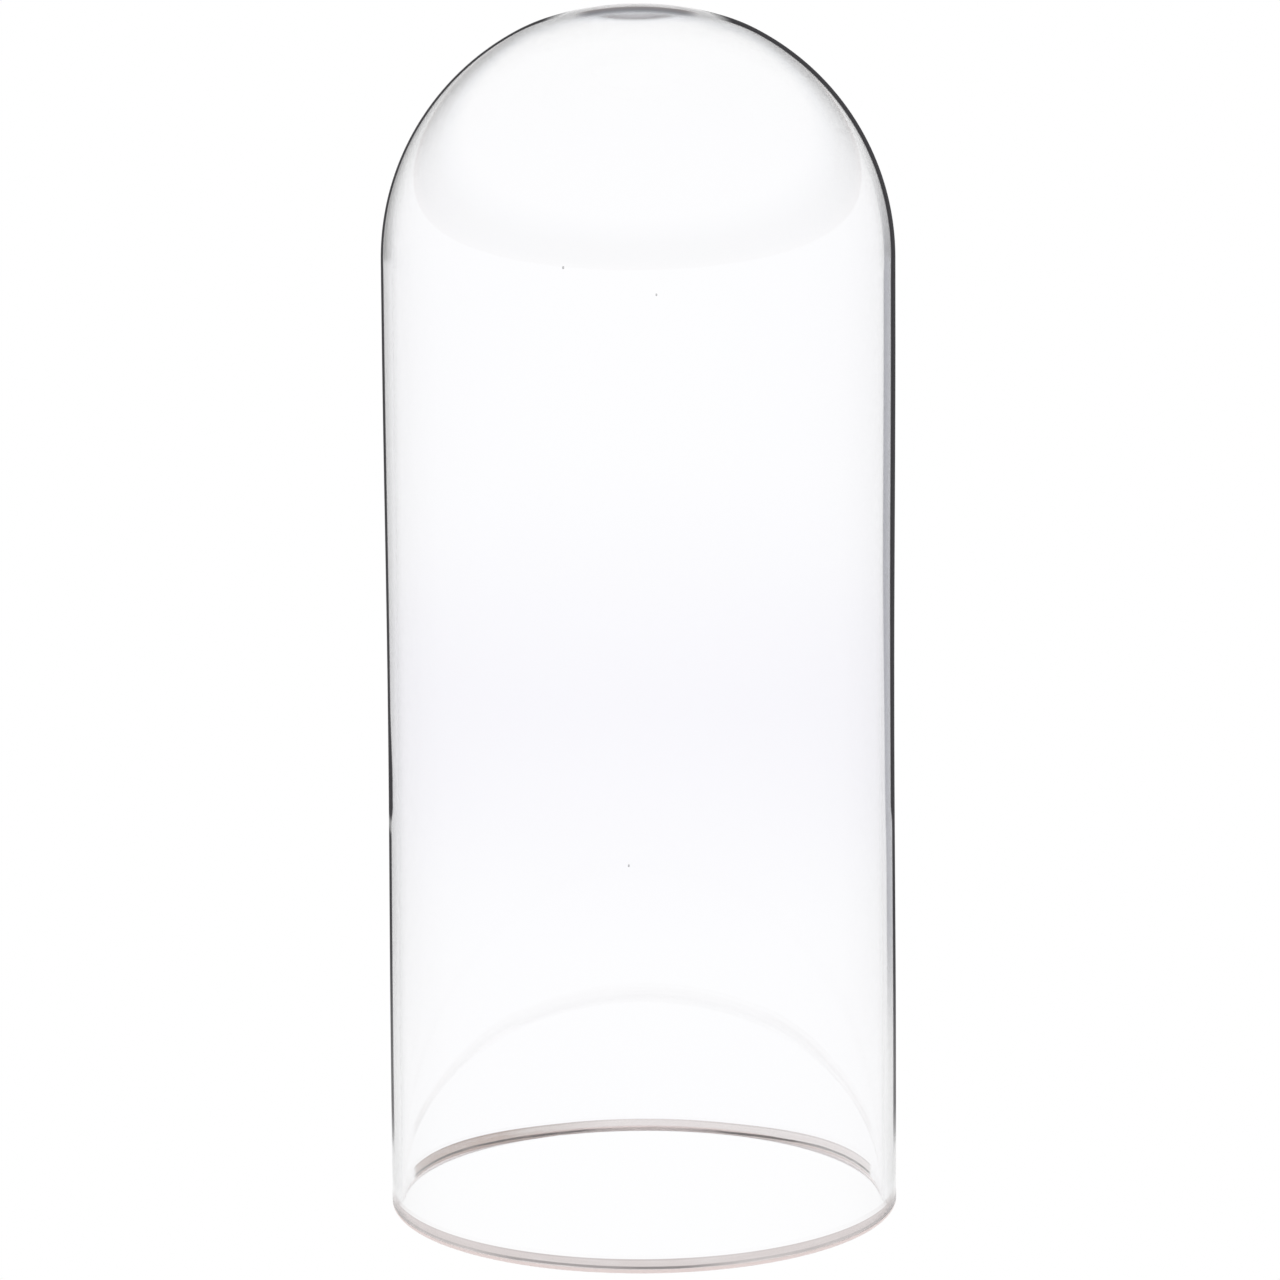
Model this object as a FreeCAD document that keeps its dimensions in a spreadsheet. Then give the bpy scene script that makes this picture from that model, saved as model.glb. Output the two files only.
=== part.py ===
import FreeCAD, Part
import math
import os

import Sketcher

# A tall glass cloche: one piece of clear glass tube, closed at the top as a round dome, open at the bottom.
# The wall is drawn once, as a section on one side of the axis, and turned a full circle.
# The seat lies on z = 0 with the axis on +Z.

NODE = "glass_dome"

# Driving dimensions in millimetres, each with what it measures.
SIZES = {
    "outer_diameter": (127.0, "outside of the tube"),
    "overall_height": (305.0, "from the seat to the top of the crown"),
    "wall_thickness": (2.75, "wall of the tube"),
    "shoulder_height": (242.5, "from the seat to where the outside of the tube turns into the dome"),
    "inner_shoulder_height": (244.0, "the same on the inside, higher because the dome is blown thinner"),
    "knuckle_radius": (40.0, "outside bend between the shoulder and the flatter crown"),
    "crown_radius": (74.0, "outside of the flatter crown"),
    "crown_thickness": (2.0, "glass on the axis, a little thicker than round it, where the tube was closed"),
    "inner_crown_radius": (85.0, "inside of the crown, flatter than the outside"),
    "rim_radius": (0.9, "fire-polished rounding on both sides of the seat"),
}

X_AXIS = -1
Y_AXIS = -2
ORIGIN = (-1, 1)
START = 1
END = 2
CENTRE = 3


def point(x, y):
    return FreeCAD.Vector(x, y, 0)


def size(name):
    return SIZES[name][0]


def make_sheet(doc):
    """The spreadsheet of driving dimensions: a word, a plain number and what it measures, one row each."""
    sheet = doc.addObject("Spreadsheet::Sheet", "dimensions")
    for row, (name, (value, meaning)) in enumerate(SIZES.items(), start=1):
        sheet.set(f"A{row}", name)
        sheet.set(f"B{row}", str(value))
        sheet.set(f"C{row}", meaning)
        sheet.setAlias(f"B{row}", name)
    doc.recompute()
    return sheet


def arc(centre_x, centre_y, radius, first_degrees, last_degrees):
    """An arc that runs anticlockwise between two angles, measured from the x axis."""
    circle = Part.Circle(point(centre_x, centre_y), FreeCAD.Vector(0, 0, 1), radius)
    return Part.ArcOfCircle(circle, math.radians(first_degrees), math.radians(last_degrees))


def line(x1, y1, x2, y2):
    return Part.LineSegment(point(x1, y1), point(x2, y2))


def section_curves():
    """The curves of the wall's section, near their final places, in order round the section."""
    outside = size("outer_diameter") / 2
    inside = outside - size("wall_thickness")
    height = size("overall_height")
    shoulder = size("shoulder_height")
    inner_shoulder = size("inner_shoulder_height")
    rounding = size("rim_radius")
    knuckle = size("knuckle_radius")
    inner_knuckle = knuckle - size("wall_thickness")
    bend = outside - knuckle
    shoulder_end = 60
    knuckle_end = 70
    bend_x = bend * math.cos(math.radians(shoulder_end))
    bend_rise = bend * math.sin(math.radians(shoulder_end))
    outer_bend_y = shoulder + bend_rise
    inner_bend_y = inner_shoulder + bend_rise
    crown = size("crown_radius")
    inner_crown = size("inner_crown_radius")
    inner_top = height - size("crown_thickness")
    return {
        "seat": line(inside + rounding, 0, outside - rounding, 0),
        "outer_rim": arc(outside - rounding, rounding, rounding, 270, 360),
        "outer_wall": line(outside, rounding, outside, shoulder),
        "outer_shoulder": arc(0, shoulder, outside, 0, shoulder_end),
        "outer_knuckle": arc(bend_x, outer_bend_y, knuckle, shoulder_end, knuckle_end),
        "outer_crown": arc(0, height - crown, crown, knuckle_end, 90),
        "axis": line(0, height, 0, inner_top),
        "inner_crown": arc(0, inner_top - inner_crown, inner_crown, knuckle_end, 90),
        "inner_knuckle": arc(bend_x, inner_bend_y, inner_knuckle, shoulder_end, knuckle_end),
        "inner_shoulder": arc(0, inner_shoulder, inside, 0, shoulder_end),
        "inner_wall": line(inside, inner_shoulder, inside, rounding),
        "inner_rim": arc(inside + rounding, rounding, rounding, 180, 270),
    }


def constrain_shape(sketch, curve):
    """Joins the curves end to end, smoothly off the axis, and ties them to the axis and the seat."""
    smooth_joins = [
        ("seat", END, "outer_rim", START),
        ("outer_rim", END, "outer_wall", START),
        ("outer_wall", END, "outer_shoulder", START),
        ("outer_shoulder", END, "outer_knuckle", START),
        ("outer_knuckle", END, "outer_crown", START),
        ("inner_crown", START, "inner_knuckle", END),
        ("inner_knuckle", START, "inner_shoulder", END),
        ("inner_shoulder", START, "inner_wall", START),
        ("inner_wall", END, "inner_rim", START),
        ("inner_rim", END, "seat", START),
    ]
    for first, first_end, second, second_end in smooth_joins:
        join = (curve[first], first_end, curve[second], second_end)
        sketch.addConstraint(Sketcher.Constraint("Tangent", *join))
    sketch.addConstraint(Sketcher.Constraint("Coincident", curve["outer_crown"], END, curve["axis"], START))
    sketch.addConstraint(Sketcher.Constraint("Coincident", curve["axis"], END, curve["inner_crown"], END))
    sketch.addConstraint(Sketcher.Constraint("Horizontal", curve["seat"]))
    sketch.addConstraint(Sketcher.Constraint("Vertical", curve["outer_wall"]))
    sketch.addConstraint(Sketcher.Constraint("Vertical", curve["inner_wall"]))
    sketch.addConstraint(Sketcher.Constraint("PointOnObject", curve["seat"], START, X_AXIS))
    on_the_axis = [
        ("axis", START),
        ("axis", END),
        ("outer_shoulder", CENTRE),
        ("inner_shoulder", CENTRE),
        ("outer_crown", CENTRE),
        ("inner_crown", CENTRE),
    ]
    for name, which in on_the_axis:
        sketch.addConstraint(Sketcher.Constraint("PointOnObject", curve[name], which, Y_AXIS))


def constrain_sizes(sketch, curve):
    """Gives every arc its radius and the section its heights, and binds each to the spreadsheet."""
    cell = "dimensions."
    outside = f"{cell}outer_diameter / 2"
    radii = {
        "outer_rim": f"{cell}rim_radius",
        "inner_rim": f"{cell}rim_radius",
        "outer_shoulder": outside,
        "inner_shoulder": f"{outside} - {cell}wall_thickness",
        "outer_knuckle": f"{cell}knuckle_radius",
        "inner_knuckle": f"{cell}knuckle_radius - {cell}wall_thickness",
        "outer_crown": f"{cell}crown_radius",
        "inner_crown": f"{cell}inner_crown_radius",
    }
    heights = {
        "height_to_shoulder": (ORIGIN, ("outer_shoulder", CENTRE), f"{cell}shoulder_height"),
        "height_to_inner_shoulder": (ORIGIN, ("inner_shoulder", CENTRE), f"{cell}inner_shoulder_height"),
        "height_to_crown": (ORIGIN, ("axis", START), f"{cell}overall_height"),
        "crown_glass": (("axis", END), ("axis", START), f"{cell}crown_thickness"),
    }
    for name, formula in radii.items():
        start_radius = sketch.Geometry[curve[name]].Radius
        index = sketch.addConstraint(Sketcher.Constraint("Radius", curve[name], start_radius))
        sketch.renameConstraint(index, f"{name}_radius")
        sketch.setExpression(f"Constraints.{name}_radius", formula)
    for name, (low, high, formula) in heights.items():
        low_curve = curve.get(low[0], low[0])
        span = (low_curve, low[1], curve[high[0]], high[1])
        rise = sketch.getPoint(*span[2:]).y - sketch.getPoint(*span[:2]).y
        index = sketch.addConstraint(Sketcher.Constraint("DistanceY", *span, rise))
        sketch.renameConstraint(index, name)
        sketch.setExpression(f"Constraints.{name}", formula)


def make_glass_dome(doc):
    """The whole cloche: the section of its wall, turned a full circle about the axis."""
    body = doc.addObject("PartDesign::Body", NODE)
    body.Label = NODE
    upright_plane = next(f for f in body.Origin.OriginFeatures if f.Role == "XZ_Plane")
    sketch = body.newObject("Sketcher::SketchObject", "wall_section")
    sketch.AttachmentSupport = [(upright_plane, "")]
    sketch.MapMode = "FlatFace"
    curve = {name: sketch.addGeometry(shape, False) for name, shape in section_curves().items()}
    constrain_shape(sketch, curve)
    constrain_sizes(sketch, curve)
    doc.recompute()
    revolution = body.newObject("PartDesign::Revolution", "dome_revolution")
    revolution.Profile = sketch
    revolution.ReferenceAxis = (sketch, ["V_Axis"])
    revolution.Angle = 360.0
    body.Tip = revolution
    body.Placement = FreeCAD.Placement()
    return body, sketch


def check_document(doc):
    for obj in doc.Objects:
        if "Invalid" in obj.State or "Error" in obj.State:
            raise RuntimeError(f"{obj.Name} failed: {obj.State}")


def check_body(body, sketch):
    free = sketch.solve()
    if free != 0 or not sketch.FullyConstrained:
        raise RuntimeError("the wall's section isn't fully constrained")
    shape = body.Shape
    if shape.isNull() or not shape.isValid() or len(shape.Solids) != 1:
        raise RuntimeError(f"{body.Label} isn't one valid solid")


def main():
    doc = FreeCAD.newDocument("glass_cloche")
    make_sheet(doc)
    body, sketch = make_glass_dome(doc)
    doc.recompute()
    check_document(doc)
    check_body(body, sketch)
    os.makedirs("parts", exist_ok=True)
    body.Shape.exportStep(f"parts/{body.Label}.step")
    box = body.Shape.optimalBoundingBox(False)
    print(f"{body.Label}: {body.Shape.Volume / 1000:.1f} cm3 of glass")
    print(f"{box.XLength:.2f} x {box.YLength:.2f} x {box.ZLength:.2f} mm, lowest z {abs(box.ZMin):.3f}")


main()
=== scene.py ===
# %% [markdown]
# # A tall glass cloche
#
# The real object is one piece of clear glass: a drawn tube, closed at the top as a round dome
# with a slightly flattened crown, and cut and fire-polished at the open end. It has no knob and
# no base. So this lesson makes a single piece, and nearly all of its look comes from how light
# bends through a wall that is under 3 mm thick.
#
# The imported model gives the size and the place. It is loaded first, and its box is kept.

# %% Load the imported model
import math

import bpy
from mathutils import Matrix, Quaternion, Vector


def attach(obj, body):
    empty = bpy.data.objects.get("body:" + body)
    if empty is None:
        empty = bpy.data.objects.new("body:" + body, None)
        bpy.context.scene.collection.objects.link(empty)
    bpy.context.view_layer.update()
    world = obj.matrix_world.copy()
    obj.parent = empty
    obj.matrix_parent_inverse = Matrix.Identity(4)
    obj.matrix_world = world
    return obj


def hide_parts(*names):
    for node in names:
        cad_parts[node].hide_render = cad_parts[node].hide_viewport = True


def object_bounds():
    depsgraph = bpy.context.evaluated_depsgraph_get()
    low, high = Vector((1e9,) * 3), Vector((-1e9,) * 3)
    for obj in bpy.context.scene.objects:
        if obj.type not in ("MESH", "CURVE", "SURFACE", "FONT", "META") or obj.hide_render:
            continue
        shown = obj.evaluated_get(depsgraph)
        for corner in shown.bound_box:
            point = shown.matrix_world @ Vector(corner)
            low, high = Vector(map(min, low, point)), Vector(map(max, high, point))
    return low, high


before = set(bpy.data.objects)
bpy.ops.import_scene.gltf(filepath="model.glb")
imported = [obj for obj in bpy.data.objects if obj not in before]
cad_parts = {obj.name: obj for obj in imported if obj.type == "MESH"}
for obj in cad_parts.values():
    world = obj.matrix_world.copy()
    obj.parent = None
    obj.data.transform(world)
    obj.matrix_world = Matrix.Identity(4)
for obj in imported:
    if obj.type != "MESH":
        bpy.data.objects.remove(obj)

cad_box = [list(corner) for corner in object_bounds()]
print("packed model, lowest and highest corners:", cad_box)

# %% [markdown]
# ## The measures of the glass
#
# Everything is in metres, with the rim standing on z = 0 and the axis on +Z. The outside is the
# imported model's. The inside differs a little from it, because a blown dome is thinner than the
# tube it is made from.

# %% Measures
MM = 0.001
OUTER_RADIUS = cad_box[1][1]
HEIGHT = cad_box[1][2]
SHOULDER = 242.5 * MM
KNUCKLE = 40 * MM
CROWN = 74 * MM
WALL = 2.75 * MM
INNER_SHOULDER = 244.75 * MM
CROWN_GLASS = 1.0 * MM
INNER_CROWN = 77 * MM
RIM_ROUNDING = 0.9 * MM
print(f"outside radius {OUTER_RADIUS / MM:.2f} mm, height {HEIGHT / MM:.1f} mm")

# %% [markdown]
# ## The camera
#
# The cloche is seen from a little above, from far away and through a long lens, so that its two
# sides stay nearly parallel. The camera is turned by less than half a degree about its own axis,
# which makes the cloche lean a hair to the left. It comes first, so that every later step can be
# looked at from the right place.

# %% Camera
VIEW_ELEVATION = math.radians(13.85)
VIEW_DISTANCE = 2.6
VIEW_ROLL = math.radians(-0.387)
VIEW_TARGET = Vector((-0.16 * MM, 0, 145.35 * MM))
VIEW_LENS = 293.7
SENSOR_WIDTH = 36

view_back = Vector((0, -math.cos(VIEW_ELEVATION), math.sin(VIEW_ELEVATION)))
bpy.ops.object.camera_add(location=VIEW_TARGET + view_back * VIEW_DISTANCE)
camera = bpy.context.object
camera.name = "studio_camera"
camera.rotation_mode = "QUATERNION"
camera.rotation_quaternion = (-view_back).to_track_quat("-Z", "Y") @ Quaternion((0, 0, 1), VIEW_ROLL)
camera.data.sensor_width = SENSOR_WIDTH
camera.data.lens = VIEW_LENS
camera.data.clip_start = 0.1
camera.data.clip_end = 200
bpy.context.scene.camera = camera
bpy.context.scene.view_settings.view_transform = "Standard"
print(f"camera {VIEW_DISTANCE} m away, lens {camera.data.lens} mm")

# %% [markdown]
# ## Arithmetic on sockets
#
# The materials below are written as formulas. One small class wraps a socket that carries a
# number, and adds a Math node for each sign in the formula. A second one holds a node tree and
# makes every other node, so that each node is one line: its type, its settings, its inputs.

# %% Nodes as formulas
class Number:
    """A socket that carries a number. Arithmetic on it adds Math nodes."""

    def __init__(self, nodes, socket):
        self.nodes = nodes
        self.socket = socket

    def combined(self, operation, first, second):
        node = self.nodes.add("Math", {"operation": operation}, {0: first, 1: second})
        return Number(self.nodes, node.outputs[0])

    def __add__(self, other):
        return self.combined("ADD", self, other)

    def __sub__(self, other):
        return self.combined("SUBTRACT", self, other)

    def __rsub__(self, other):
        return self.combined("SUBTRACT", other, self)

    def __mul__(self, other):
        return self.combined("MULTIPLY", self, other)

    __radd__ = __add__
    __rmul__ = __mul__


class Nodes:
    """The nodes of one material or world."""

    def __init__(self, tree):
        self.tree = tree
        tree.nodes.clear()

    def add(self, kind, settings=None, inputs=None):
        """Makes a node: its settings first, and then the values or links of its sockets."""
        node = self.tree.nodes.new("ShaderNode" + kind)
        for name, value in (settings or {}).items():
            setattr(node, name, value)
        for name, value in (inputs or {}).items():
            if isinstance(value, Number):
                value = value.socket
            if isinstance(value, bpy.types.NodeSocket):
                self.tree.links.new(value, node.inputs[name])
            else:
                node.inputs[name].default_value = value
        return node

    def smooth(self, value, low, high):
        """0 below low and 1 above high, with a soft step between them. Low may be the larger."""
        settings = {"interpolation_type": "SMOOTHSTEP"}
        node = self.add("MapRange", settings, {"Value": value, "From Min": low, "From Max": high})
        return Number(self, node.outputs["Result"])

    def ramp(self, value, stops):
        """A colour that changes with a number from 0 to 1, given as places and colours."""
        node = self.add("ValToRGB", None, {"Fac": value})
        elements = node.color_ramp.elements
        elements[0].position, elements[1].position = stops[0][0], stops[-1][0]
        elements[0].color, elements[1].color = (*stops[0][1], 1), (*stops[-1][1], 1)
        for place, colour in stops[1:-1]:
            elements.new(place).color = (*colour, 1)
        return node.outputs["Color"]

    def blend(self, kind, factor, first, second):
        """Two colours mixed or multiplied."""
        settings = {"data_type": "RGBA", "blend_type": kind}
        node = self.add("Mix", settings, {"Factor": factor, 6: first, 7: second})
        return node.outputs[2]

    def parts(self, vector):
        """The three numbers of a vector."""
        node = self.add("SeparateXYZ", None, {"Vector": vector})
        return [Number(self, output) for output in node.outputs]


# %% [markdown]
# ## The studio
#
# Clear glass has no colour of its own. What shows is the room behind it, bent at its edges. The
# usual set for it is a bright white sheet below and behind, which gives a pure white picture, and a
# darker room beyond the sheet, which only the strongly bent light of the crown and the rim reaches:
# it draws part of their dark lines, and the rest of the dark lines and shade is painted on the
# glass. The room is the same all the way round, so that the cloche looks alike from every side. The
# camera itself sees plain white past the sheet.

# %% Floor
GLOW = 1.0
WHITE = (1.0, 1.0, 1.0)
SHEET_RADIUS = 90
SHEET_GAP = 0.1 * MM

bpy.ops.object.select_all(action="DESELECT")
bpy.ops.mesh.primitive_circle_add(
    vertices=96, radius=SHEET_RADIUS, fill_type="NGON", location=(0, 0, -SHEET_GAP)
)
floor = bpy.context.object
floor.name = "white_sheet"
floor_material = bpy.data.materials.new("lit_white_sheet")
floor_material.use_nodes = True
sheet_nodes = Nodes(floor_material.node_tree)
sheet_light = sheet_nodes.add("Emission", None, {"Color": (*WHITE, 1), "Strength": GLOW})
sheet_nodes.add("OutputMaterial", None, {"Surface": sheet_light.outputs[0]})
floor.data.materials.append(floor_material)
print(f"white sheet {floor.dimensions.x:.0f} m across")

# %% Room
ROOM = [
    (-90, WHITE),
    (-9, WHITE),
    (-4, (0.75, 0.62, 0.60)),
    (0, (0.50, 0.42, 0.41)),
    (4, (0.05, 0.05, 0.06)),
    (11, (0.06, 0.06, 0.08)),
    (16, (0.40, 0.44, 0.50)),
    (24, WHITE),
    (90, WHITE),
]

room = bpy.data.worlds.new("studio_room")
room.use_nodes = True
bpy.context.scene.world = room
room_nodes = Nodes(room.node_tree)
direction = room_nodes.add("TexCoord").outputs["Generated"]
upward = room_nodes.parts(direction)[2]
heights = [((math.sin(math.radians(degrees)) + 1) / 2, colour) for degrees, colour in ROOM]
room_colour = room_nodes.ramp(upward * 0.5 + 0.5, heights)
path = room_nodes.add("LightPath")
seen_white = room_nodes.add(
    "Math",
    {"operation": "MAXIMUM"},
    {0: path.outputs["Is Camera Ray"], 1: path.outputs["Is Reflection Ray"]},
)
shown = room_nodes.blend("MIX", seen_white.outputs[0], room_colour, (*WHITE, 1))
room_light = room_nodes.add("Background", None, {"Color": shown, "Strength": GLOW})
room_nodes.add("OutputWorld", None, {"Surface": room_light.outputs[0]})
print(f"room with {len(ROOM)} levels of light")

# %% [markdown]
# ## The outline of the wall
#
# A cloche is turned, so it is drawn as a lathe piece: one line that starts on the axis at the
# top, follows the outside down, goes round the rim and comes back up the inside to the axis.
# It starts from a single vertex. A straight stretch is an extrusion of the last vertex, and a
# round stretch is a spin of it about the middle of its arc, so that every bend is a true arc.
#
# The dome is three arcs that meet smoothly: the shoulder, a tighter knuckle, and the flatter
# crown. The knuckle's middle is where the other two circles leave room for it.

# %% Arcs of the dome
def dome_arcs(shoulder_radius, shoulder_height, knuckle, crown, top):
    """The three arcs from the axis down to the shoulder, as centre and angles from level."""
    crown_middle = top - crown
    reach = shoulder_radius - knuckle
    drop = crown - knuckle
    rise = drop**2 - reach**2 - crown_middle**2 + shoulder_height**2
    knuckle_z = rise / (2 * (shoulder_height - crown_middle))
    knuckle_x = math.sqrt(reach**2 - (knuckle_z - shoulder_height) ** 2)
    shoulder_end = math.atan2(knuckle_z - shoulder_height, knuckle_x)
    knuckle_end = math.atan2(knuckle_z - crown_middle, knuckle_x)
    return [
        ((0, crown_middle), math.pi / 2, knuckle_end),
        ((knuckle_x, knuckle_z), knuckle_end, shoulder_end),
        ((0, shoulder_height), shoulder_end, 0),
    ]


outer_arcs = dome_arcs(OUTER_RADIUS, SHOULDER, KNUCKLE, CROWN, HEIGHT)
inner_arcs = dome_arcs(
    OUTER_RADIUS - WALL, INNER_SHOULDER, KNUCKLE - WALL, INNER_CROWN, HEIGHT - CROWN_GLASS
)
for (x, z), start, end in outer_arcs:
    turn = f"{math.degrees(start):.0f} to {math.degrees(end):.0f} degrees"
    print(f"arc about x {x / MM:.1f}, z {z / MM:.1f} mm, {turn}")


# %% Drawing with one vertex
def draw_arc(centre, start, end, steps):
    """Turns the last vertex about a centre, from one angle to another, measured up from +X."""
    bpy.ops.mesh.spin(
        steps=steps, angle=end - start, center=(centre[0], 0, centre[1]), axis=(0, 1, 0), dupli=False
    )


def draw_line(x, z, pieces=1):
    """Extrudes the last vertex by a distance, in equal pieces."""
    for _ in range(pieces):
        step = {"value": (x / pieces, 0, z / pieces)}
        bpy.ops.mesh.extrude_vertices_move(TRANSFORM_OT_translate=step)


bpy.ops.object.select_all(action="DESELECT")
bpy.ops.mesh.primitive_circle_add(vertices=3, radius=1 * MM)
glass = bpy.context.object
glass.name = "glass_cloche"
bpy.ops.object.mode_set(mode="EDIT")
bpy.ops.mesh.select_all(action="SELECT")
bpy.ops.mesh.merge(type="CENTER")
bpy.ops.transform.translate(value=(0, 0, HEIGHT))

ARC_STEPS = (16, 8, 48)
RIM_STEPS = 8
WALL_PIECES = 44
rim_x = OUTER_RADIUS - RIM_ROUNDING
inner_rim_x = OUTER_RADIUS - WALL + RIM_ROUNDING
for (centre, start, end), count in zip(outer_arcs, ARC_STEPS):
    draw_arc(centre, start, end, count)
draw_line(0, RIM_ROUNDING - SHOULDER, WALL_PIECES)
draw_arc((rim_x, RIM_ROUNDING), 0, -math.pi / 2, RIM_STEPS)
draw_line(inner_rim_x - rim_x, 0)
draw_arc((inner_rim_x, RIM_ROUNDING), -math.pi / 2, -math.pi, RIM_STEPS)
draw_line(0, INNER_SHOULDER - RIM_ROUNDING, WALL_PIECES)
for (centre, start, end), count in zip(reversed(inner_arcs), reversed(ARC_STEPS)):
    draw_arc(centre, end, start, count)
bpy.ops.object.mode_set(mode="OBJECT")
last = glass.data.vertices[-1].co
print(f"outline of {len(glass.data.vertices)} points")
print(f"it ends at x {last.x / MM:.3f}, z {last.z / MM:.2f} mm")

# %% [markdown]
# ## Turning the outline
#
# The outline is spun a full circle about the axis. The first and last copies lie on each other,
# and so do all the copies of the two points on the axis, so doubles are merged, which closes the
# seam and both poles. A spin can come out inside out, so the normals are worked out again. Both
# skins join round the rim into one closed shell, so "outside" is clear everywhere: away from the
# glass, which is outward on the outer skin and towards the hollow on the inner one.

# %% Spin
TURN_STEPS = 256
bpy.ops.object.mode_set(mode="EDIT")
bpy.ops.mesh.select_all(action="SELECT")
bpy.ops.mesh.spin(
    steps=TURN_STEPS, angle=2 * math.pi, center=(0, 0, 0), axis=(0, 0, 1), dupli=False
)
bpy.ops.mesh.select_all(action="SELECT")
bpy.ops.mesh.remove_doubles(threshold=0.01 * MM)
bpy.ops.mesh.normals_make_consistent(inside=False)
bpy.ops.object.mode_set(mode="OBJECT")
bpy.ops.object.transform_apply(location=True, rotation=True, scale=True)
bpy.ops.object.shade_smooth()
print(f"{len(glass.data.vertices)} vertices, {len(glass.data.polygons)} faces")


# %% [markdown]
# ## The maker's hand
#
# A drawn and blown cloche is never quite a cylinder. The tube has a slight waist. At the foot the
# hollow sits a little off the middle, so one side of the wall is thicker than the other. And the
# glass is a hair thicker inside the top, where the tube was closed, like a drop that never fell.
# Each is a small move of some vertices with a soft falloff, and each stays inside the packed
# model's box. The outer skin is hidden while the hollow moves, because what is hidden stays put.

# %% Choosing vertices by place
def choose(test):
    """Selects the vertices that pass a test on their place, and leaves edit mode open."""
    bpy.ops.object.mode_set(mode="EDIT")
    bpy.ops.mesh.select_all(action="DESELECT")
    bpy.ops.object.mode_set(mode="OBJECT")
    chosen = [vertex for vertex in glass.data.vertices if test(vertex.co)]
    for vertex in chosen:
        vertex.select = True
    bpy.ops.object.mode_set(mode="EDIT")
    return len(chosen)


def reach_of(place):
    """How far a place is from the axis."""
    return math.hypot(place.x, place.y)


# %% Waist
WAIST = 0.9945
WAIST_LEVEL = 130 * MM
WAIST_REACH = 90 * MM
count = choose(lambda place: abs(place.z - WAIST_LEVEL) < 4 * MM)
bpy.ops.transform.resize(
    value=(WAIST, WAIST, 1),
    center_override=(0, 0, WAIST_LEVEL),
    use_proportional_edit=True,
    proportional_edit_falloff="SMOOTH",
    proportional_size=WAIST_REACH,
)
bpy.ops.object.mode_set(mode="OBJECT")
print(f"waist of {count} vertices")

# %% Hollow off the middle at the foot
HOLLOW_SHIFT = 0.3 * MM
HOLLOW_LEVEL = 60 * MM
HOLLOW_REACH = 170 * MM


def outer_half(place):
    """True on the outside of the tube, and on the outer half of the rim."""
    return place.z < SHOULDER and reach_of(place) > WAIST * (OUTER_RADIUS - WALL / 2)


choose(outer_half)
bpy.ops.mesh.hide(unselected=False)
count = choose(lambda place: place.z < HOLLOW_LEVEL and not outer_half(place))
bpy.ops.transform.translate(
    value=(-HOLLOW_SHIFT, 0, 0),
    use_proportional_edit=True,
    proportional_edit_falloff="SMOOTH",
    proportional_size=HOLLOW_REACH,
)
bpy.ops.mesh.reveal(select=False)
bpy.ops.object.mode_set(mode="OBJECT")
print(f"foot of the hollow, {count} vertices, moved {HOLLOW_SHIFT / MM:.2f} mm")

# %% Drop inside the top
DROP = 0.06 * MM
DROP_REACH = 8.6 * MM
inner_top = HEIGHT - CROWN_GLASS
DROP_CORE = 1.5 * MM


def at_the_inner_pole(place):
    """True on the skin of the hollow, close round the axis."""
    return abs(place.z - inner_top) < 0.2 * CROWN_GLASS and reach_of(place) < DROP_CORE


count = choose(at_the_inner_pole)
bpy.ops.transform.translate(
    value=(0, 0, -DROP),
    use_proportional_edit=True,
    use_proportional_connected=True,
    proportional_edit_falloff="SPHERE",
    proportional_size=DROP_REACH,
)
bpy.ops.object.mode_set(mode="OBJECT")
print(f"drop of {count} vertices")

# %% [markdown]
# ## Nicks and seeds
#
# The cut edge has a few tiny nicks where the glass was scored, and the wall holds a few seeds,
# which are air bubbles that the drawing stretched upright. Both are real shapes, because a mark
# in the material would have no depth. A nick is a short run of the seat pushed up into the
# glass. A seed is a small closed shell in the middle of the wall, whose faces point into the
# bubble, away from the glass, as those of the hollow do.

# %% Nicks in the rim
NICK_TURNS = (-100, -95, 128, 131, 112, 60, 36)
NICK_DEPTH = 0.25 * MM
MID_WALL = OUTER_RADIUS - WALL / 2


def in_a_nick(place, turn):
    """True on the seat near one turn round the rim, in degrees from +X."""
    across = math.remainder(math.atan2(place.y, place.x) - math.radians(turn), 2 * math.pi)
    on_the_seat = place.z < 0.5 * RIM_ROUNDING and abs(reach_of(place) - MID_WALL) < 0.9 * MM
    return on_the_seat and abs(across) < math.pi / TURN_STEPS


count = choose(lambda place: any(in_a_nick(place, turn) for turn in NICK_TURNS))
bpy.ops.transform.translate(value=(0, 0, NICK_DEPTH))
bpy.ops.object.mode_set(mode="OBJECT")
print(f"{len(NICK_TURNS)} nicks, {count} vertices moved")

# %% Seeds in the wall
SEEDS = [(-107, 252.4, 0.22), (-86, 246.3, 0.18), (-93, 104, 0.2)]
SEED_STRETCH = 1.6


def add_seed(turn, level, radius):
    """A stretched bubble in the middle of the wall: degrees from +X, and height and radius in mm."""
    reach = math.sqrt(MID_WALL**2 - max(level * MM - SHOULDER, 0) ** 2)
    side = (math.cos(math.radians(turn)), math.sin(math.radians(turn)))
    middle = (reach * side[0], reach * side[1], level * MM)
    bpy.ops.object.select_all(action="DESELECT")
    bpy.ops.mesh.primitive_ico_sphere_add(subdivisions=3, radius=radius * MM, location=middle)
    bpy.ops.object.mode_set(mode="EDIT")
    bpy.ops.transform.resize(value=(1, 1, SEED_STRETCH), center_override=middle)
    bpy.ops.mesh.flip_normals()
    bpy.ops.object.mode_set(mode="OBJECT")
    bpy.ops.object.shade_smooth()
    glass.select_set(True)
    bpy.context.view_layer.objects.active = glass
    bpy.ops.object.join()


for seed in SEEDS:
    add_seed(*seed)
print(f"{len(SEEDS)} seeds, {len(glass.data.polygons)} faces in all")
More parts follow.
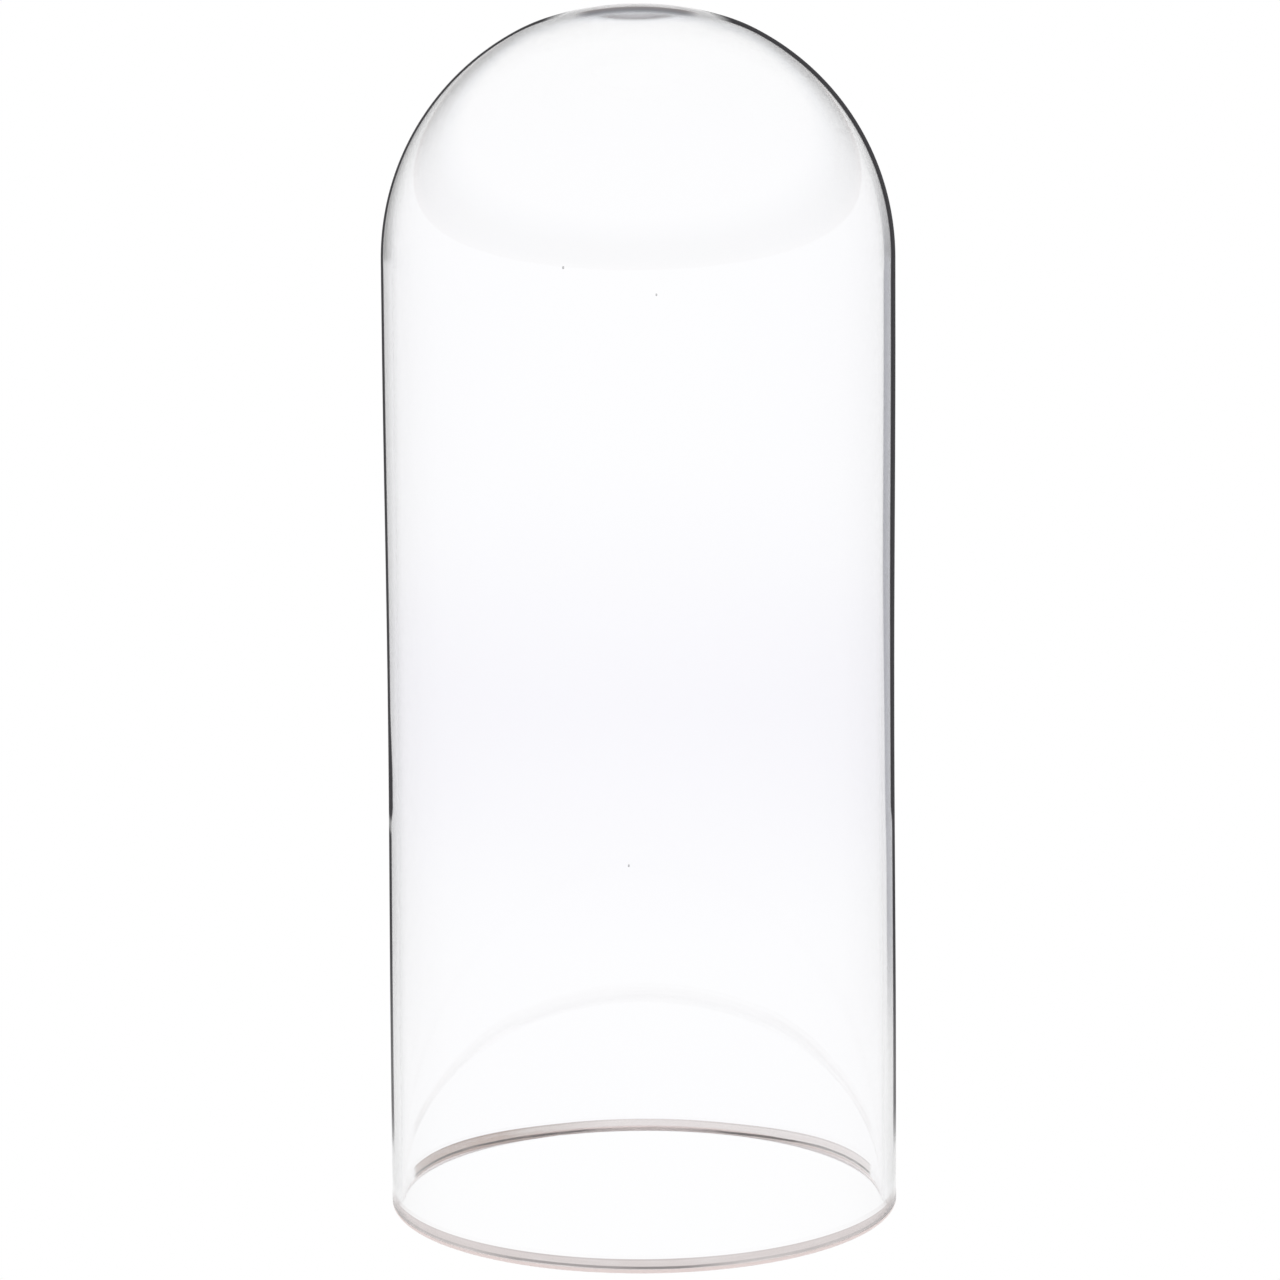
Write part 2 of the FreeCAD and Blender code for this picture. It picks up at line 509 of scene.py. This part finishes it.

# %% [markdown]
# ## Two skins, one glass
#
# The glass gets two materials, one for the outer skin and one for the skin of the hollow. They are
# the same clear glass. Only what lies on the surface differs: the outer skin carries the painted
# dark lines and painted shade of the edges, and both carry the fired colours and painted shade of
# the rim.

# %% Outside and inside faces
for face in glass.data.polygons:
    middle = face.center
    outward = Vector((middle.x, middle.y, max(middle.z - SHOULDER, 0)))
    face.material_index = 1 if face.normal.dot(outward) < 0 else 0
print(sum(face.material_index for face in glass.data.polygons), "faces on the inner skin")


# %% A glass material
def grey_blue(value):
    """A nearly neutral grey with a trace of blue, as clear glass has; it colours the painted shade
    of the wall.
    """
    return (value, value, value * 1.02)


def clear_glass(name):
    """A glass material, its nodes, and its shader."""
    material = bpy.data.materials.new(name)
    material.use_nodes = True
    nodes = Nodes(material.node_tree)
    constants = {"Transmission Weight": 1.0, "IOR": 1.5, "Roughness": 0.0}
    shader = nodes.add("BsdfPrincipled", None, constants)
    nodes.add("OutputMaterial", None, {"Surface": shader.outputs[0]})
    glass.data.materials.append(material)
    return nodes, shader


def straight_on_in(nodes):
    """1 where a surface is seen straight on, down to 0 where it is seen edge-on."""
    return 1 - Number(nodes, nodes.add("LayerWeight").outputs["Facing"])


nodes, shader = clear_glass("clear_glass_outside")
place = nodes.add("TexCoord").outputs["Object"]
x, y, z = nodes.parts(place)
straight_on = straight_on_in(nodes)
# Painted shade: this mask widens the dark line and lays the grey strip on the +X side; the wall
# there is also a little thicker at the foot.
thick_and_shaded_side = nodes.smooth(x, -40 * MM, 40 * MM)
print("the wall is thicker towards +X")

# %% [markdown]
# ## Lines along the edges
#
# Seen edge-on, light that enters a tube's wall runs along inside it and leaves towards the dark
# room, so each side has a dark line, which is painted here as shade. On the +X side a grey strip of
# painted shade lies inside the line, standing for light that bounces once in the wall from a greyer
# side of the room, and the line is painted wider there; the wall on that side is also a little
# thicker at the foot. Both follow the angle at which the glass is seen, and Layer Weight gives that
# angle. The line is drawn as a dark and rough metal instead of darker glass, because glass keeps its
# bright mirror at the very edge. The line fades towards the bright foot and the crown, and a ripple
# of the drawing thickens it for a short way.
#
# This is a stand-in, and it has a limit. From the sides the lines stay at the edges, all the way
# round. From nearly overhead the whole wall is seen edge-on, so all of it turns dark, as real
# glass would not.

# %% Dark line and grey strip
EDGE_LINE = 0.135
EDGE_SOFTNESS = 0.015
STRIP_SOFTNESS = 0.01
below_crown = nodes.smooth(z, 303.2 * MM, 301 * MM)
low_wall = nodes.smooth(z, 12 * MM, 28 * MM)
above_foot = low_wall * 0.8 + nodes.smooth(z, 28 * MM, 80 * MM) * 0.2
thin_side = 1 - thick_and_shaded_side
ripple = nodes.smooth(z, 101 * MM, 106 * MM) * nodes.smooth(z, 132 * MM, 112 * MM)
gap = nodes.smooth(z, 97.5 * MM, 99.5 * MM) * nodes.smooth(z, 103 * MM, 101 * MM) * thin_side
upper_wall = nodes.smooth(z, 110 * MM, 180 * MM)
thicker = 0.005 + 0.03 * nodes.smooth(z, 100 * MM, 106 * MM) + 0.015 * upper_wall
line_width = EDGE_LINE + thick_and_shaded_side * thicker + ripple * thin_side * 0.035
side_line = nodes.smooth(straight_on, line_width + EDGE_SOFTNESS, line_width - EDGE_SOFTNESS)
side_line = side_line * above_foot * below_crown * (1 - gap * 0.55)

# The grey strip is painted shade.
strip_width = 0.25 + 0.015 * nodes.smooth(z, 90 * MM, 115 * MM) + 0.03 * upper_wall
strip_fade = thick_and_shaded_side * nodes.smooth(z, 35 * MM, 80 * MM) * nodes.smooth(z, 275 * MM, 240 * MM)
strip = nodes.smooth(straight_on, strip_width + STRIP_SOFTNESS, strip_width - STRIP_SOFTNESS)
wall_strip = strip * strip_fade
print(f"edge line where the glass is seen at under {math.degrees(math.asin(EDGE_LINE)):.0f} degrees")

# %% [markdown]
# ## Shade of the wall
#
# Between its edges the wall is nearly white and grows greyer towards the sides. That grey is painted
# shade, for the darker room seen through glass that is seen more edge-on, with a little of the
# glass's own tint along the longer path. The tube also carries a breath of lavender round its
# middle. The painted shade is weaker on the thinner dome and towards the foot.

# %% Shade
SHADE = [
    (0.15, 0.20),
    (0.2, 0.36),
    (0.25, 0.60),
    (0.3, 0.73),
    (0.36, 0.82),
    (0.49, 0.905),
    (0.6, 0.955),
    (0.77, 0.98),
    (1.0, 0.99),
]
LIGHT_GLASS = (0.98, 0.98, 0.985, 1)
LAVENDER = (0.955, 0.95, 0.972, 1)
# STRIP_GREY and LINE_GREY are the colours of the painted shade: the grey strip and the dark lines.
STRIP_GREY = (0.081, 0.085, 0.112, 1)
LINE_GREY = (0.037, 0.035, 0.040, 1)

# Painted shade: the wall turns greyer as it is seen more edge-on.
shade = nodes.ramp(straight_on, [(angle, grey_blue(value)) for angle, value in SHADE])
dome_lighter = nodes.smooth(z, 245 * MM, 275 * MM) * 0.6 + nodes.smooth(z, 275 * MM, 295 * MM) * 0.3
foot_lighter = nodes.smooth(z, 90 * MM, 30 * MM) * 0.5
shade = nodes.blend("MIX", dome_lighter + foot_lighter, shade, LIGHT_GLASS)
mid_tube = nodes.smooth(z, 75 * MM, 118 * MM) * nodes.smooth(z, 180 * MM, 140 * MM)
colour = nodes.blend("MULTIPLY", mid_tube, shade, LAVENDER)
colour = nodes.blend("MIX", wall_strip, colour, STRIP_GREY)
print(f"shade at {len(SHADE)} angles")

# %% [markdown]
# ## Band round the closed tip
#
# Where the tube was closed, a painted dark band of shade crosses the top of the crown, with painted
# pinkish and bluish fringes above and below it, for the light that the glass there bends and splits.
# It is another line that follows the viewing angle, but only near the axis.

# %% Tip
level_place = nodes.add("CombineXYZ", None, {"X": x, "Y": y}).outputs[0]
length = nodes.add("VectorMath", {"operation": "LENGTH"}, {0: level_place})
from_axis = Number(nodes, length.outputs["Value"])
tip = nodes.smooth(from_axis, 18 * MM, 11 * MM) * nodes.smooth(z, 290 * MM, 295 * MM)
band = nodes.smooth(straight_on, 0.125, 0.165) * nodes.smooth(straight_on, 0.28, 0.20)
TIP_STRENGTH = 0.72
tip_band = band * tip * TIP_STRENGTH
# Painted colour fringes of split light on either side of the painted dark band.
TIP_HUES = [(0.05, (1, 0.90, 0.88)), (0.16, (1, 0.90, 0.90)), (0.22, (0.88, 0.91, 1)), (0.4, WHITE)]
colour = nodes.blend("MULTIPLY", tip, colour, nodes.ramp(straight_on, TIP_HUES))
# Painted shade: the side lines and the tip band are drawn in LINE_GREY and as dark rough metal.
dark = side_line + tip_band
colour = nodes.blend("MIX", dark, colour, LINE_GREY)
print(f"tip band with {len(TIP_HUES)} hues")


# %% [markdown]
# ## The fired rim
#
# The open end was cut, ground flat and passed through a flame. A band about 3.5 mm tall is painted
# round it, slightly pinkish: partly the tint of the fired glass, partly painted shade of the rounded
# edge. Near its foot runs a dark broken line of painted shade, where the wall's light turns over,
# and the back of the band is painted a darker brown towards -X, as shade. At the front the ground
# edge is still a little frosted. The front of the band lies on the outer skin and the back of it on
# the inner one, so that from either side only one of the two is looked through. Noise stretched
# round the rim makes it uneven, because a flame is never even.

# %% Fired edge
def fired_and_shaded_edge(nodes, place, colour, edge, shade_line, top, level, strength):
    """The band up to a height, partly tint and partly painted shade, and a dark broken line of
    painted shade at a level, over the wall's colour.
    """
    z = nodes.parts(place)[2]
    drawn = nodes.add("Mapping", None, {"Vector": place, "Scale": (1, 1, 10)}).outputs[0]
    noise = nodes.add("TexNoise", None, {"Vector": drawn, "Scale": 60.0, "Detail": 4.0})
    cloud = Number(nodes, noise.outputs["Fac"])
    band = nodes.smooth(z, top + 0.06 * MM, top - 0.06 * MM) * strength
    lip = band * nodes.smooth(z, top - 0.6 * MM, top - 0.2 * MM) * 0.3
    wander = z + (cloud - 0.5) * 0.6 * MM
    rise = nodes.smooth(wander, level - 0.45 * MM, level - 0.2 * MM)
    line = rise * nodes.smooth(wander, level + 0.45 * MM, level + 0.2 * MM)
    broken = line * (0.85 + 0.15 * nodes.smooth(cloud, 0.45, 0.55)) * strength
    banded = nodes.blend("MIX", band * (0.7 + 0.6 * cloud), colour, edge)
    return nodes.blend("MIX", broken + lip, banded, shade_line)


# %% Front of the rim, on the outer skin
FRONT_BAND = 3.9 * MM
FRONT_LINE = 1.7 * MM
front = nodes.smooth(y, 15 * MM, -15 * MM)
# The painted shade line is lighter in the middle of the front and darker towards its sides.
front_middle = nodes.smooth(x, -45 * MM, -25 * MM) * nodes.smooth(x, 25 * MM, 8 * MM)
shade_line = nodes.blend("MIX", front_middle, (0.30, 0.265, 0.26, 1), (0.07, 0.06, 0.06, 1))
colour = fired_and_shaded_edge(
    nodes, place, colour, edge=(0.50, 0.425, 0.415, 1), shade_line=shade_line, top=FRONT_BAND,
    level=FRONT_LINE, strength=front,
)
ground = nodes.smooth(z, 1.35 * MM, 1.05 * MM)
frosted = ground * front * 0.9
colour = nodes.blend("MIX", ground * (1 - front), colour, (1.0, 0.9, 0.88, 1))
colour = nodes.blend("MIX", frosted, colour, (0.93, 0.85, 0.835, 1))
rim_haze = nodes.smooth(z, FRONT_BAND, 2.5 * MM) * 0.2 + ground * 0.65

nodes.tree.links.new(colour, shader.inputs["Base Color"])
nodes.tree.links.new((dark + frosted).socket, shader.inputs["Metallic"])
nodes.tree.links.new((dark * 0.9 + rim_haze).socket, shader.inputs["Roughness"])
print(f"outer skin with {len(nodes.tree.nodes)} nodes")

# %% Back of the rim, on the inner skin
BACK_BAND = 3.5 * MM
BACK_LINE = 1.0 * MM
nodes, shader = clear_glass("clear_glass_inside")
place = nodes.add("TexCoord").outputs["Object"]
x, y, z = nodes.parts(place)
back = nodes.smooth(y, -15 * MM, 15 * MM) * nodes.smooth(straight_on_in(nodes), 0.28, 0.33)
# Painted shade: the back of the band turns a darker brown towards -X.
shaded_back_left = nodes.smooth(x, -5 * MM, -40 * MM)
edge = nodes.blend("MIX", shaded_back_left, (0.60, 0.53, 0.51, 1), (0.26, 0.185, 0.155, 1))
# The painted shade line at the back is nearly black towards both sides.
sides = nodes.smooth(x, 8 * MM, 25 * MM) + nodes.smooth(x, -5 * MM, -18 * MM)
shade_line = nodes.blend("MIX", sides, (0.30, 0.26, 0.25, 1), (0.012, 0.009, 0.008, 1))
right_lift = nodes.smooth(x, 20 * MM, 62 * MM) * 1.5
left_lift = nodes.smooth(x, -20 * MM, -62 * MM) * 1.3
risen = z - (right_lift + left_lift) * MM
risen_place = nodes.add("CombineXYZ", None, {"X": x, "Y": y, "Z": risen}).outputs[0]
foot = nodes.smooth(risen, -0.1 * MM, 0.2 * MM)
colour = fired_and_shaded_edge(
    nodes, risen_place, (*WHITE, 1), edge=edge, shade_line=shade_line, top=BACK_BAND, level=BACK_LINE,
    strength=back * foot,
)
nodes.tree.links.new(colour, shader.inputs["Base Color"])
print(f"inner skin with {len(nodes.tree.nodes)} nodes")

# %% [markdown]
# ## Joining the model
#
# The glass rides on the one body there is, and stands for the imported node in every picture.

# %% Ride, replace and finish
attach(glass, "root")
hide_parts("glass_dome")
